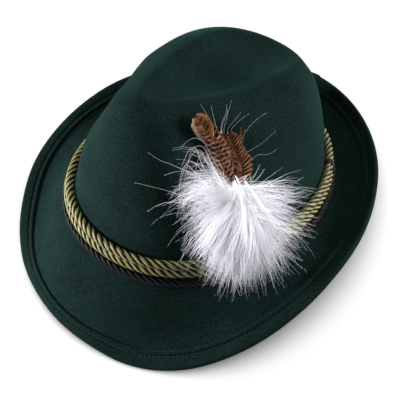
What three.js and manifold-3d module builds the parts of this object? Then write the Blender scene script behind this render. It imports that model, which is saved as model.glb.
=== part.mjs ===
// Tyrolean felt hat with a creased crown, three twisted cords, two barred feathers and a white plume.
// Millimetres, +Z up. The hat's front points along -Y and the wearer's left, with the plume, along +X.
// It stands as it rests on a table: the front edge and the rear of the brim touch the surface at z = 0.
import * as THREE from 'three';
import { mergeVertices } from 'three/addons/utils/BufferGeometryUtils.js';
import Module from 'manifold-3d';

const wasm = await Module();
wasm.setup();

// Felt body
const HEAD_LENGTH = 203;       // inside the head opening, front to back
const HEAD_WIDTH = 156.3;      // inside the head opening, side to side
const FELT = 2;                // thickness of the felt
const CROWN_FRONT = 104.6;     // height of the crown's rim above the brim break, in front
const CROWN_SIDE = 97.4;       // the same at the sides
const CROWN_BACK = 85.4;       // the same behind
const CREASE_DEPTH = 6.7;      // depth of the crease in the crown's top
const PINCH_DEPTH = 13.5;      // depth of the two dents at the crown's front corners
const PINCH_ANGLE = 49;        // degrees from the front to the middle of each dent
const PINCH_SPREAD = 14;       // degrees over which each dent fades
const BREAK_FILLET = 2.5;      // leg of the rounded corner between crown and brim
const BRIM_RUN = 37;           // reach of the brim from the break, seen from above
const BRIM_DROP = 48.7;        // drop of the brim's front edge below the break

// Binding of the brim's edge
const BINDING = 1;             // thickness of the strip
const BINDING_WIDTH = 9.5;     // width of the strip on each side of the brim

// Cords
const GOLD_CORD = 5.8;         // diameter of each gold cord
const DARK_CORD = 5;           // diameter of the dark cord
const CORD_HEIGHT = 7.6;       // height of the lower gold cord's centre above the break
const WRAP_WALL = 0.8;         // thickness of the whipping
const WRAP_LENGTH = 4.5;       // length of the whipping along the cords
const WRAP_ANGLE = 129;        // degrees from the front to the whipping

// Plume and feathers
const PLUME_ANGLE = 59.3;      // degrees from the front to the plume
const PLUME_HEIGHT = 43;       // height of the plume's head above the break
const HEAD_HALF_WIDTH = 13;    // half width of the plume's head
const HEAD_HALF_HEIGHT = 19;   // half height of the plume's head
const HEAD_HALF_DEPTH = 9;     // half depth of the plume's head
const LOCK_DOWN = 42;          // length of the locks that hang down
const LOCK_SIDE = 44;          // length of the locks that stand sideways
const LOCK_UP = 24;            // length of the locks that stand up
const LOCK_WIDTH = 8;          // width of a lock where it leaves the head
const LOCK_THICKNESS = 3.2;    // its thickness there
const LOCK_SAG = 0.12;         // share of its length by which a lock's tip hangs
const LONG_FEATHER_WIDTH = 12; // width of the long feather's vane
const SHORT_FEATHER_WIDTH = 10.5; // width of the short feather's vane
const VANE = 1.2;              // thickness of a vane along its shaft
const QUILL = 1.8;             // diameter of a quill
const QUILL_LENGTH = 9;        // length of the quill inside the plume's head

// Clearances and the rest
const GAP = 0.35;              // clearance between neighbouring pieces
const REST_FLATTENING = 0.9;   // how far the felt is pressed flat where it rests
const COLUMNS = 60;            // facets round the hat

const COLOURS = {
  felt: '#1d3a33', binding: '#1b3730', gold: '#8f8753', dark: '#1f1a1f', wrap: '#16171a',
  feather: '#8a4a22', plume: '#f1f0f4',
};

// Crown table, from the break up to the rim and down into the crease.
// rise: share of the crown's height; front, side, back: share of the head oval's half length or width;
// corner: how much the plan bulges at the two front corners; point: narrowing of the plan towards the front;
// pinch: share of PINCH_DEPTH; crease: share of CREASE_DEPTH
const CROWN_ROWS = [
  { rise: 0, front: 1, side: 1, back: 1, corner: 0.023, point: 0, pinch: 0, crease: 0 },
  { rise: 0.196, front: 0.972, side: 0.905, back: 0.957, corner: 0.031, point: 0, pinch: 0, crease: 0 },
  { rise: 0.432, front: 0.928, side: 0.848, back: 0.884, corner: 0.039, point: 0, pinch: 0.10, crease: 0 },
  { rise: 0.660, front: 0.885, side: 0.778, back: 0.800, corner: 0.03, point: 0.10, pinch: 0.40, crease: 0 },
  { rise: 0.840, front: 0.842, side: 0.704, back: 0.718, corner: 0.03, point: 0.16, pinch: 1, crease: 0 },
  { rise: 0.950, front: 0.787, side: 0.629, back: 0.648, corner: 0.012, point: 0.27, pinch: 0.29, crease: 0 },
  { rise: 1, front: 0.700, side: 0.458, back: 0.614, corner: 0, point: 0.42, pinch: 0.08, crease: 0 },
  { rise: 1, front: 0.594, side: 0.275, back: 0.465, corner: 0, point: 0.50, pinch: 0, crease: 0.50 },
  { rise: 1, front: 0.495, side: 0, back: 0.317, corner: 0, point: 0.55, pinch: 0, crease: 1 },
];
// How much of the crease's depth there is in front, at the sides and behind
const CREASE_SHARE = { front: 0.6, side: 1, back: -0.4 };

// Brim table, from the front round to the back, alike on both sides.
// angle: degrees from the front; run: share of BRIM_RUN; rise: share of BRIM_DROP;
// inner, outer: slope in degrees at the break and at the edge
const BRIM_ROWS = [
  { angle: 0, run: 0.875, rise: -0.954, inner: -49, outer: -70 },
  { angle: 15, run: 0.881, rise: -0.955, inner: -48, outer: -61 },
  { angle: 30, run: 0.930, rise: -0.954, inner: -44, outer: -38 },
  { angle: 45, run: 1.012, rise: -0.765, inner: -42, outer: -12 },
  { angle: 60, run: 1.083, rise: -0.419, inner: -35, outer: -6 },
  { angle: 75, run: 1.056, rise: -0.130, inner: -27, outer: -3 },
  { angle: 90, run: 0.978, rise: 0.082, inner: -23, outer: 20 },
  { angle: 105, run: 0.912, rise: 0.175, inner: -20, outer: 46 },
  { angle: 120, run: 0.872, rise: 0.222, inner: -17, outer: 60 },
  { angle: 135, run: 0.885, rise: 0.269, inner: -14.5, outer: 67 },
  { angle: 150, run: 0.894, rise: 0.330, inner: -13.5, outer: 69 },
  { angle: 165, run: 0.894, rise: 0.391, inner: -13.5, outer: 69.5 },
  { angle: 180, run: 0.893, rise: 0.415, inner: -14, outer: 70 },
];

// Feather tables along the shaft, from where the vane begins to its tip.
// angle: degrees from the front; climb: place between the break (0) and the crease (1);
// lift: height above the felt in vane thicknesses; width: share of the vane's width
const LONG_FEATHER = [
  { angle: 58.4, climb: 0.351, lift: 6.3, width: 0.5 },
  { angle: 57.3, climb: 0.378, lift: 6, width: 0.85 },
  { angle: 55.9, climb: 0.404, lift: 5.8, width: 1 },
  { angle: 54.4, climb: 0.434, lift: 5.5, width: 1 },
  { angle: 52.3, climb: 0.464, lift: 5.2, width: 0.9 },
  { angle: 49.5, climb: 0.512, lift: 4.9, width: 0.78 },
  { angle: 47.9, climb: 0.575, lift: 4.6, width: 0.8 },
  { angle: 45.5, climb: 0.621, lift: 4.3, width: 0.75 },
  { angle: 43.7, climb: 0.646, lift: 4.1, width: 0.3 },
];
const SHORT_FEATHER = [
  { angle: 62.1, climb: 0.350, lift: 3.8, width: 0.5 },
  { angle: 64.2, climb: 0.374, lift: 3.8, width: 0.95 },
  { angle: 64.9, climb: 0.404, lift: 3.7, width: 1 },
  { angle: 64, climb: 0.439, lift: 3.5, width: 0.85 },
  { angle: 62.9, climb: 0.476, lift: 3.3, width: 0.72 },
  { angle: 62.1, climb: 0.513, lift: 3.2, width: 0.65 },
  { angle: 61.1, climb: 0.559, lift: 3, width: 0.25 },
];

// Rings of locks round the plume's head.
// count: locks in the ring; out: degrees that they stand off the crown; reach: share of the lock lengths;
// turn: degrees from straight down to the ring's first lock
const LOCK_RINGS = [
  { count: 15, out: 20, reach: 1, turn: 0 },
  { count: 12, out: 42, reach: 0.88, turn: 15 },
  { count: 7, out: 66, reach: 0.66, turn: 40 },
];

const HALF_LENGTH = HEAD_LENGTH / 2 + FELT;
const HALF_WIDTH = HEAD_WIDTH / 2 + FELT;
const RAD = Math.PI / 180;

// Small helpers
const mix = (a, b, f) => a + (b - a) * f;
const clamp = (x, lo, hi) => Math.min(hi, Math.max(lo, x));
const vec = (x, y, z) => new THREE.Vector3(x, y, z);
const fromFront = (angle) => Math.abs(((angle % 360) + 540) % 360 - 180);

// One column of a table, as a smooth curve through its rows; u counts rows
function column(rows, key, u, before, after) {
  const i = clamp(Math.floor(u), 0, rows.length - 2);
  const f = u - i;
  const at = (k) => (k < 0 ? before : k >= rows.length ? after : rows[k][key]);
  const [a, b, c, d] = [at(i - 1), at(i), at(i + 1), at(i + 2)];
  const bend = 2 * a - 5 * b + 4 * c - d;
  const twist = 3 * b - a - 3 * c + d;
  return 0.5 * (2 * b + (c - a) * f + bend * f ** 2 + twist * f ** 3);
}

// How near an angle lies to the middle of a front corner of the plan
const cornerShare = (angle) => (Math.cos(angle * RAD) > 0 ? Math.sin(2 * angle * RAD) ** 2 : 0);

// Crown: a point on the felt's outer surface, in the hat's own frame, whose origin is the head oval's centre.
// angle: degrees from the front towards the wearer's left; climb: 0 at the break, 1 in the crease
function crownPoint(angle, climb) {
  const last = CROWN_ROWS.length - 1;
  const [first, second] = CROWN_ROWS;
  const [inner, end] = CROWN_ROWS.slice(-2);
  const at = (key, after) => column(CROWN_ROWS, key, climb * last, 2 * first[key] - second[key], after);
  const s = Math.sin(angle * RAD);
  const c = Math.cos(angle * RAD);
  const ahead = Math.max(c, 0) ** 2;
  const behind = Math.max(-c, 0) ** 2;
  const height = CROWN_FRONT * ahead + CROWN_SIDE * s * s + CROWN_BACK * behind;
  const crease = CREASE_SHARE.front * ahead + CREASE_SHARE.side * s * s + CREASE_SHARE.back * behind;
  const front = at('front', 2 * end.front - inner.front);
  const back = at('back', 2 * end.back - inner.back);
  const side = at('side', -inner.side);
  const narrow = 1 - at('point', inner.point) * (1 + c) / 2;
  const x = HALF_WIDTH * side * s * narrow;
  const y = -HALF_LENGTH * mix(back, front, (1 + c) / 2) * c;
  const floor = mix(2 * end.crease - inner.crease, inner.crease, s * s);
  const z = height * at('rise', inner.rise) - CREASE_DEPTH * crease * at('crease', floor);
  const fade = Math.exp(-(((fromFront(angle) - PINCH_ANGLE) / PINCH_SPREAD) ** 2));
  const pinch = PINCH_DEPTH * at('pinch', inner.pinch) * fade;
  const radius = Math.max(Math.hypot(x, y), 1e-6);
  const grow = 1 + at('corner', inner.corner) * cornerShare(angle) - pinch / radius;
  return vec(x * grow, y * grow, z);
}

// Place on the crown wall at a height above the break
function climbTo(angle, height) {
  let low = 0;
  let high = 0.6;
  for (let i = 0; i < 30; i++) {
    const middle = (low + high) / 2;
    if (crownPoint(angle, middle).z < height) low = middle;
    else high = middle;
  }
  return low;
}

function crownNormal(angle, climb) {
  const c = clamp(climb, 0.004, 0.985);
  const round = crownPoint(angle + 1, c).sub(crownPoint(angle - 1, c));
  const along = crownPoint(angle, c + 0.004).sub(crownPoint(angle, c - 0.004));
  const normal = round.cross(along).normalize();
  if (climb > 0.999) normal.setX(0).normalize();
  return normal;
}

// Brim: its section at an angle is one cubic curve from the break to the edge
function brimSection(angle) {
  const step = BRIM_ROWS[1].angle;
  const beyond = (key) => [BRIM_ROWS[1][key], BRIM_ROWS[BRIM_ROWS.length - 2][key]];
  const at = (key) => column(BRIM_ROWS, key, fromFront(angle) / step, ...beyond(key));
  const s = Math.sin(angle * RAD);
  const c = Math.cos(angle * RAD);
  const run = BRIM_RUN * at('run');
  const rise = BRIM_DROP * at('rise');
  const handle = 0.42 * Math.hypot(run, rise);
  const inner = at('inner') * RAD;
  const outer = at('outer') * RAD;
  const grow = 1 + CROWN_ROWS[0].corner * cornerShare(angle);
  const point = (reach, up) => vec((HALF_WIDTH + reach) * grow * s, -(HALF_LENGTH + reach) * grow * c, up);
  return new THREE.CubicBezierCurve3(
    point(0, 0),
    point(handle * Math.cos(inner), handle * Math.sin(inner)),
    point(run - handle * Math.cos(outer), rise - handle * Math.sin(outer)),
    point(run, rise),
  );
}

// Felt stations: places across the felt from the crease to the brim's edge, each with its outward normal
const CROWN_CLIMBS = [1, 0.94, 0.875, 0.81, 0.75, 0.69, 0.625, 0.565, 0.5, 0.43, 0.34, 0.23, 0.12];
const BRIM_SHARES = [0.2, 0.42, 0.62];
const BINDING_SHARES = [1, 0.5, 0];

function feltStations(angle) {
  const brim = brimSection(angle);
  const length = brim.getLength();
  const normalOnBrim = (u) => {
    const t = brim.getUtoTmapping(u);
    const round = brimSection(angle + 1).getPoint(t).sub(brimSection(angle - 1).getPoint(t));
    return brim.getTangentAt(u).cross(round).normalize();
  };
  const onBrim = (u) => ({ point: brim.getPointAt(u), normal: normalOnBrim(u) });
  const crown = CROWN_CLIMBS.map((c) => ({ point: crownPoint(angle, c), normal: crownNormal(angle, c) }));
  const start = climbTo(angle, BREAK_FILLET);
  const above = { point: crownPoint(angle, start), normal: crownNormal(angle, start) };
  const below = onBrim(BREAK_FILLET / length);
  const fillet = new THREE.QuadraticBezierCurve3(above.point, crownPoint(angle, 0), below.point);
  const middle = { point: fillet.getPoint(0.5), normal: above.normal.clone().add(below.normal).normalize() };
  const bound = 1 - BINDING_WIDTH / length;
  const plain = BRIM_SHARES.map((share) => onBrim(mix(BREAK_FILLET / length, bound, share)));
  const edge = BINDING_SHARES.map((share) => onBrim(1 - share * BINDING_WIDTH / length));
  const outward = brim.getTangentAt(1);
  return [...crown, above, middle, below, ...plain, ...edge].map((station) => ({ ...station, outward }));
}

// Closed skin over rings of points; ends: 'loop' joins last to first, 'cap' fills both ends,
// 'closed' leaves rings that have already shrunk to a line. Each patch is split along its shorter diagonal,
// so that faces that lie along each other are split alike
function skin(rings, ends) {
  const n = rings[0].length;
  const points = rings.flat();
  const faces = [];
  const quad = (a, b, c, d) => {
    const shorter = points[a].distanceTo(points[c]) < points[b].distanceTo(points[d]);
    faces.push(...(shorter ? [a, b, c, a, c, d] : [a, b, d, b, c, d]));
  };
  const spans = ends === 'loop' ? rings.length : rings.length - 1;
  for (let i = 0; i < spans; i++) {
    const next = (i + 1) % rings.length;
    for (let j = 0; j < n; j++) {
      const k = (j + 1) % n;
      quad(i * n + j, i * n + k, next * n + k, next * n + j);
    }
  }
  if (ends === 'cap') {
    const tail = (rings.length - 1) * n;
    for (let j = 1; j < n - 1; j++) {
      faces.push(0, j + 1, j);
      faces.push(tail, tail + j, tail + j + 1);
    }
  }
  return closedGeometry(points, faces);
}

// Geometry from points and faces, with shared corners merged and its faces turned outwards
function closedGeometry(points, faces) {
  const raw = new THREE.BufferGeometry();
  raw.setAttribute('position', new THREE.Float32BufferAttribute(points.flatMap((p) => [p.x, p.y, p.z]), 3));
  raw.setIndex(faces);
  const merged = mergeVertices(raw, 1e-4);
  const position = merged.getAttribute('position');
  const corner = (i) => new THREE.Vector3().fromBufferAttribute(position, i);
  const index = Array.from(merged.getIndex().array);
  const kept = [];
  let volume = 0;
  for (let i = 0; i < index.length; i += 3) {
    const [a, b, c] = index.slice(i, i + 3);
    if (a === b || b === c || c === a) continue;
    kept.push([a, b, c]);
    volume += corner(a).dot(corner(b).cross(corner(c)));
  }
  merged.setIndex(kept.flatMap(([a, b, c]) => (volume > 0 ? [a, b, c] : [a, c, b])));
  return merged;
}

// Layers of felt and binding at a station: depth counts from the felt's outer face inwards,
// reach stands out past the brim's edge
const inset = (station, depth, reach = 0) => (
  station.point.clone().addScaledVector(station.normal, -depth).addScaledVector(station.outward, reach));

// The face of a station that lies lowest: the felt's inner face, or the binding's where it covers the felt
function underside(station, index, row) {
  const bound = index >= row.length - BINDING_SHARES.length;
  if (!bound) return inset(station, FELT);
  const tip = index === row.length - 1;
  return inset(station, FELT + GAP + BINDING, tip ? GAP + BINDING : 0);
}

// Rest: the hat leans back until its front edge and the rear of its brim both touch the surface
const angles = Array.from({ length: COLUMNS }, (_, j) => j * 360 / COLUMNS);
const stations = angles.map(feltStations);
const lowSide = stations.flatMap((row) => row.map(underside));

function lean(point, degrees) {
  return point.clone().applyAxisAngle(vec(1, 0, 0), -degrees * RAD);
}

function lowest(points, degrees) {
  return Math.min(...points.map((p) => lean(p, degrees).z));
}

function restingLean() {
  const ahead = lowSide.filter((p) => p.y < 0);
  const behind = lowSide.filter((p) => p.y >= 0);
  let low = 0;
  let high = 30;
  for (let i = 0; i < 30; i++) {
    const middle = (low + high) / 2;
    if (lowest(ahead, middle) < lowest(behind, middle)) low = middle;
    else high = middle;
  }
  return low;
}

const LEAN = restingLean();
const SURFACE = lowest(lowSide, LEAN) + REST_FLATTENING;

// A point of the hat's own frame brought to where it rests; press lifts what the surface presses flat
function rest(point, press = 0) {
  const placed = lean(point, LEAN);
  placed.z += press - SURFACE;
  return placed;
}

const presses = stations.map((row) => row.map((...at) => Math.max(0, -rest(underside(...at)).z)));

// One ring of points round the hat at a station, at a depth into the felt
function stationRing(index, depth, reach = 0) {
  return stations.map((row, j) => {
    const i = row.length + index;
    return rest(inset(row[i], depth, reach), presses[j][i]);
  });
}

function feltBody() {
  const outside = [];
  const inside = [];
  for (let index = -stations[0].length; index < 0; index++) {
    outside.push(stationRing(index, 0));
    inside.unshift(stationRing(index, FELT));
  }
  return skin([...outside, ...inside], 'closed');
}

// Binding: a strip folded over the edge, its section a band that follows the felt at a small clearance
function brimBinding() {
  const band = (grow) => {
    const over = BINDING_SHARES.map((_, i) => i - BINDING_SHARES.length);
    const reach = (index) => (index === -1 ? grow : 0);
    const top = over.map((index) => stationRing(index, -grow, reach(index)));
    const bottom = over.map((index) => stationRing(index, FELT + grow, reach(index)));
    return [...top, ...bottom.reverse()];
  };
  return skin([...band(GAP + BINDING), ...band(GAP).reverse()], 'loop');
}

// Cords: each is a whole loop of round sections that follow the foot of the crown
function onWall(angle, height, distance) {
  const climb = climbTo(angle, height);
  return crownPoint(angle, climb).addScaledVector(crownNormal(angle, climb), distance);
}

function lowerCordCentre(angle) {
  return onWall(angle, CORD_HEIGHT, GOLD_CORD / 2 + GAP);
}

function upperCordCentre(angle) {
  const below = lowerCordCentre(angle);
  let low = CORD_HEIGHT;
  let high = CORD_HEIGHT + 2 * GOLD_CORD;
  for (let i = 0; i < 30; i++) {
    const middle = (low + high) / 2;
    if (onWall(angle, middle, GOLD_CORD / 2 + GAP).distanceTo(below) < GOLD_CORD + GAP) low = middle;
    else high = middle;
  }
  return onWall(angle, low, GOLD_CORD / 2 + GAP);
}

function darkCordCentre(angle) {
  const clear = DARK_CORD / 2 + 2 * GAP;
  const reach = clear + GAP;
  const brim = brimSection(angle);
  const slope = brim.getTangent(0);
  const outward = vec(slope.x, slope.y, 0);
  const steep = slope.z / outward.length();
  const up = clear * Math.hypot(1, steep) + steep * reach;
  return crownPoint(angle, 0).addScaledVector(outward.normalize(), reach).add(vec(0, 0, up));
}

function cordLoop(centreAt, diameter, sides = 8) {
  const rings = angles.map((angle) => {
    const centre = centreAt(angle);
    const along = centreAt(angle + 1).sub(centreAt(angle - 1)).normalize();
    const outward = along.clone().cross(vec(0, 0, 1)).normalize();
    const up = outward.clone().cross(along);
    return Array.from({ length: sides }, (_, k) => {
      const turn = (k + 0.5) * 2 * Math.PI / sides;
      const point = centre.clone().addScaledVector(outward, Math.cos(turn) * diameter / 2);
      return rest(point.addScaledVector(up, Math.sin(turn) * diameter / 2));
    });
  });
  return skin(rings, 'loop');
}

// Whipping: a half sleeve round the outer side of both gold cords, open towards the felt
function cordWrap() {
  const step = 360 / COLUMNS;
  const before = Math.floor(WRAP_ANGLE / step) * step;
  const between = (centreAt) => centreAt(before).add(centreAt(before + step)).multiplyScalar(0.5);
  const lower = between(lowerCordCentre);
  const upper = between(upperCordCentre);
  const along = lowerCordCentre(before + step).sub(lowerCordCentre(before)).normalize();
  const up = upper.clone().sub(lower);
  const spacing = up.length();
  up.addScaledVector(along, -up.dot(along)).normalize();
  const outward = along.clone().cross(up);
  const near = GOLD_CORD / 2 + GAP;
  const far = near + WRAP_WALL;
  const top = 100 * RAD;
  const bottom = -30 * RAD;
  const outline = new THREE.Shape();
  outline.absarc(0, spacing, far, top, 0, true);
  outline.absarc(0, 0, far, 0, bottom, true);
  outline.absarc(0, 0, near, bottom, 0, false);
  outline.absarc(0, spacing, near, 0, top, false);
  const settings = { depth: WRAP_LENGTH, bevelEnabled: false, curveSegments: 5 };
  const sleeve = new THREE.ExtrudeGeometry(outline, settings).translate(0, 0, -WRAP_LENGTH / 2);
  const place = new THREE.Matrix4().makeBasis(outward, up, along).setPosition(lower);
  sleeve.applyMatrix4(place);
  return plainGeometry(sleeve, rest);
}

// A library geometry with only its corners kept, each moved by place
function plainGeometry(source, place) {
  const position = source.getAttribute('position');
  const points = Array.from({ length: position.count }, (_, i) => (
    place(new THREE.Vector3().fromBufferAttribute(position, i))));
  const index = source.getIndex();
  const faces = index ? Array.from(index.array) : points.map((_, i) => i);
  return closedGeometry(points, faces);
}

// Plume frame: out stands off the crown, side runs round it towards the back, up climbs it
const plumeClimb = climbTo(PLUME_ANGLE, PLUME_HEIGHT);
const plumeFoot = crownPoint(PLUME_ANGLE, plumeClimb);
const plumeOut = crownNormal(PLUME_ANGLE, plumeClimb);
const plumeSide = vec(0, 0, 1).cross(plumeOut).normalize();
const plumeUp = plumeOut.clone().cross(plumeSide);
const headCentre = plumeFoot.clone().addScaledVector(plumeOut, HEAD_HALF_DEPTH + GAP);

function inPlume(side, up, out) {
  const across = headCentre.clone().addScaledVector(plumeSide, side).addScaledVector(plumeUp, up);
  return across.addScaledVector(plumeOut, out);
}

// Feathers: a quill that ends in the plume's head and a vane that follows the crown above the felt
function feather(table, width, quillEnd, grow = 0) {
  const shaft = table.map((row) => {
    const normal = crownNormal(row.angle, row.climb);
    return { point: crownPoint(row.angle, row.climb).addScaledVector(normal, row.lift * VANE), normal, row };
  });
  const rings = [];
  const addRing = (point, along, normal, half, thick) => {
    const across = along.clone().cross(normal).normalize();
    const face = across.clone().cross(along).normalize();
    const corners = [[-1, -0.3], [-1, 0.3], [0, 1], [1, 0.3], [1, -0.3], [0, -1]];
    rings.push(corners.map(([a, f]) => rest(
      point.clone().addScaledVector(across, a * (half + grow)).addScaledVector(face, f * (thick + grow)))));
  };
  const root = shaft[0];
  const quillAlong = root.point.clone().sub(quillEnd).normalize();
  const base = quillEnd.clone().addScaledVector(quillAlong, -grow);
  addRing(base, quillAlong, root.normal, QUILL / 2, QUILL / 2);
  addRing(quillEnd.clone().lerp(root.point, 0.8), quillAlong, root.normal, QUILL / 2, QUILL / 2);
  shaft.forEach(({ point, normal, row }, i) => {
    const ahead = shaft[Math.min(i + 1, shaft.length - 1)].point;
    const behind = shaft[Math.max(i - 1, 0)].point;
    addRing(point, ahead.clone().sub(behind).normalize(), normal, row.width * width / 2, VANE / 2);
  });
  return skin(rings, 'cap');
}

const longQuill = inPlume(-1, HEAD_HALF_HEIGHT - QUILL_LENGTH, 1.5 * QUILL);
const shortQuill = inPlume(2 * QUILL, HEAD_HALF_HEIGHT - QUILL_LENGTH, -QUILL);

function toSolid(geometry) {
  const position = geometry.getAttribute('position');
  const vertProperties = new Float32Array(position.array);
  const triVerts = new Uint32Array(geometry.getIndex().array);
  return new wasm.Manifold(new wasm.Mesh({ numProp: 3, vertProperties, triVerts }));
}

function fromSolid(solid) {
  const mesh = solid.getMesh();
  const points = [];
  for (let i = 0; i < mesh.vertProperties.length; i += mesh.numProp) {
    points.push(vec(...mesh.vertProperties.slice(i, i + 3)));
  }
  return closedGeometry(points, Array.from(mesh.triVerts));
}

// Plume: tapering locks in rings round one head, all one solid, bored for the two quills
function plumeLock(around, stand, reach) {
  const a = around * RAD;
  const tall = Math.cos(a) > 0 ? LOCK_DOWN : LOCK_UP;
  const length = reach * mix(LOCK_SIDE, tall, Math.cos(a) ** 2);
  const flat = Math.cos(stand * RAD);
  const direction = [Math.sin(a) * flat, -Math.cos(a) * flat, Math.sin(stand * RAD)];
  const rings = [0.1, 0.4, 0.72, 1].map((u) => {
    const centre = inPlume(...direction.map((d) => d * length * u));
    centre.addScaledVector(vec(0, 0, -1), LOCK_SAG * length * u * u);
    const axis = inPlume(...direction).sub(headCentre).normalize();
    const across = axis.clone().cross(plumeOut).normalize();
    const face = across.clone().cross(axis);
    const half = LOCK_WIDTH / 2 * (1 - 0.9 * u);
    const thick = LOCK_THICKNESS / 2 * (1 - 0.8 * u);
    return [[1, 0], [0, 1], [-1, 0], [0, -1]].map(([wide, deep]) => (
      rest(centre.clone().addScaledVector(across, wide * half).addScaledVector(face, deep * thick))));
  });
  return skin(rings, 'cap');
}

function plumeWhite() {
  const ball = new THREE.SphereGeometry(1, 14, 9);
  const head = plainGeometry(ball, (p) => (
    rest(inPlume(p.x * HEAD_HALF_WIDTH, p.y * HEAD_HALF_HEIGHT, p.z * HEAD_HALF_DEPTH))));
  let solid = toSolid(head);
  for (const { count, out, reach, turn } of LOCK_RINGS) {
    for (let i = 0; i < count; i++) {
      solid = solid.add(toSolid(plumeLock(turn + i * 360 / count, out, reach)));
    }
  }
  const long = feather(LONG_FEATHER, LONG_FEATHER_WIDTH, longQuill, GAP);
  const short = feather(SHORT_FEATHER, SHORT_FEATHER_WIDTH, shortQuill, GAP);
  return fromSolid(solid.subtract(toSolid(long)).subtract(toSolid(short)));
}

// Assembly
const hat = new THREE.Group();

function addPiece(name, geometry, colour, roughness) {
  geometry.computeVertexNormals();
  const material = new THREE.MeshStandardMaterial({ color: colour, roughness, metalness: 0 });
  const piece = new THREE.Mesh(geometry, material);
  piece.name = name;
  hat.add(piece);
}

addPiece('felt_body', feltBody(), COLOURS.felt, 0.95);
addPiece('brim_binding', brimBinding(), COLOURS.binding, 0.95);
addPiece('cord_gold_upper', cordLoop(upperCordCentre, GOLD_CORD), COLOURS.gold, 0.6);
addPiece('cord_gold_lower', cordLoop(lowerCordCentre, GOLD_CORD), COLOURS.gold, 0.6);
addPiece('cord_dark', cordLoop(darkCordCentre, DARK_CORD), COLOURS.dark, 0.7);
addPiece('cord_wrap', cordWrap(), COLOURS.wrap, 0.7);
addPiece('feather_long', feather(LONG_FEATHER, LONG_FEATHER_WIDTH, longQuill), COLOURS.feather, 0.6);
addPiece('feather_short', feather(SHORT_FEATHER, SHORT_FEATHER_WIDTH, shortQuill), COLOURS.feather, 0.6);
addPiece('plume_white', plumeWhite(), COLOURS.plume, 0.8);

// Origin under the middle of the hat, on the surface
const middle = new THREE.Box3().setFromObject(hat).getCenter(vec(0, 0, 0));
hat.position.set(-middle.x, -middle.y, 0);
hat.updateMatrixWorld(true);

export default hat;
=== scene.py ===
import math

import bpy
import numpy as np
from mathutils import Matrix, Vector


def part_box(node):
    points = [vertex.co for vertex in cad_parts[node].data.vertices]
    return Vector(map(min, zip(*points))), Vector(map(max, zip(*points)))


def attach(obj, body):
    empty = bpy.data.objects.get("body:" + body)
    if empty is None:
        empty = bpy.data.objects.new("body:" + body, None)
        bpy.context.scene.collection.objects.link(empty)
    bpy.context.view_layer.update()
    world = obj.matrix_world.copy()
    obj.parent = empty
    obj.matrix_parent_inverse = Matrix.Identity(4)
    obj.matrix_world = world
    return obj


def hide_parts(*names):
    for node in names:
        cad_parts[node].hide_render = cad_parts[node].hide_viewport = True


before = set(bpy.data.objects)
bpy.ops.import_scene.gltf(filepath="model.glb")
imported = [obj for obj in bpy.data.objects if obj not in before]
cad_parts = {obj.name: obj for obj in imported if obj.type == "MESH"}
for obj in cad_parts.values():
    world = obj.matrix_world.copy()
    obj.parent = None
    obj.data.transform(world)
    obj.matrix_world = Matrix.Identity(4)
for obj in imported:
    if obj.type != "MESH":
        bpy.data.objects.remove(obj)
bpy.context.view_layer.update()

# Units: sizes below are millimetres, and MM turns them into metres when a mesh is made.
# Axes: +Z up, the hat's front along -Y, the wearer's left with the plume along +X.
MM = 0.001
RAD = math.pi / 180

# Felt, as in the solids
HEAD_LENGTH = 203
HEAD_WIDTH = 156.3
FELT = 2
CROWN_FRONT = 104.6
CROWN_SIDE = 97.4
CROWN_BACK = 85.4
CREASE_DEPTH = 6.7
PINCH_DEPTH = 13.5
PINCH_ANGLE = 49
PINCH_SPREAD = 14
BREAK_FILLET = 2.5
BRIM_RUN = 37
BRIM_DROP = 48.7
BRIM_HANDLE = 0.42             # length of the section's handles, as a share of its chord
REST_FLATTENING = 0.9

CROWN_KEYS = ("rise", "front", "side", "back", "corner", "point", "pinch", "crease")
CROWN_ROWS = (
    (0, 1, 1, 1, 0.023, 0, 0, 0),
    (0.196, 0.972, 0.905, 0.957, 0.031, 0, 0, 0),
    (0.432, 0.928, 0.848, 0.884, 0.039, 0, 0.10, 0),
    (0.660, 0.885, 0.778, 0.800, 0.03, 0.10, 0.40, 0),
    (0.840, 0.842, 0.704, 0.718, 0.03, 0.16, 1, 0),
    (0.950, 0.787, 0.629, 0.648, 0.012, 0.27, 0.29, 0),
    (1, 0.700, 0.458, 0.614, 0, 0.42, 0.08, 0),
    (1, 0.594, 0.275, 0.465, 0, 0.50, 0, 0.50),
    (1, 0.495, 0, 0.317, 0, 0.55, 0, 1),
)
CREASE_SHARE = {"front": 0.6, "side": 1, "back": -0.4}

BRIM_KEYS = ("angle", "run", "rise", "inner", "outer")
BRIM_ROWS = (
    (0, 0.875, -0.954, -49, -70),
    (15, 0.881, -0.955, -48, -61),
    (30, 0.930, -0.954, -44, -38),
    (45, 1.012, -0.765, -42, -12),
    (60, 1.083, -0.419, -35, -6),
    (75, 1.056, -0.130, -27, -3),
    (90, 0.978, 0.082, -23, 20),
    (105, 0.912, 0.175, -20, 46),
    (120, 0.872, 0.222, -17, 60),
    (135, 0.885, 0.269, -14.5, 67),
    (150, 0.894, 0.330, -13.5, 69),
    (165, 0.894, 0.391, -13.5, 69.5),
    (180, 0.893, 0.415, -14, 70),
)

# Binding, sewn on by one row of stitches
BINDING_WIDTH = 9.5
BINDING_PLY = 1.35
STITCH_ROW = 6.0
STITCH_STEP = 3.1
STITCH_LENGTH = 2.3
THREAD = 0.42
LAP_START = 181.5
LAP_END = 187.5
LAP_HEIGHT = 0.75
PUCKER = 0.3                   # how far each stitch pulls the binding down

# Cords and their whipping
GOLD_CORD = 5.8
DARK_CORD = 5
CORD_HEIGHT = 7.6
GAP = 0.35
PLIES = 4
PLY_SHARE = 0.43               # a ply's thickness as a share of its cord's
YARN_RIDGE = 0.05
PLY_PITCH = 20.5
WRAP_ANGLE = 129
WRAP_LENGTH = 4.5
WRAP_THREAD = 0.6
WRAP_STEPS = 14                # points round each half of a turn

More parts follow.
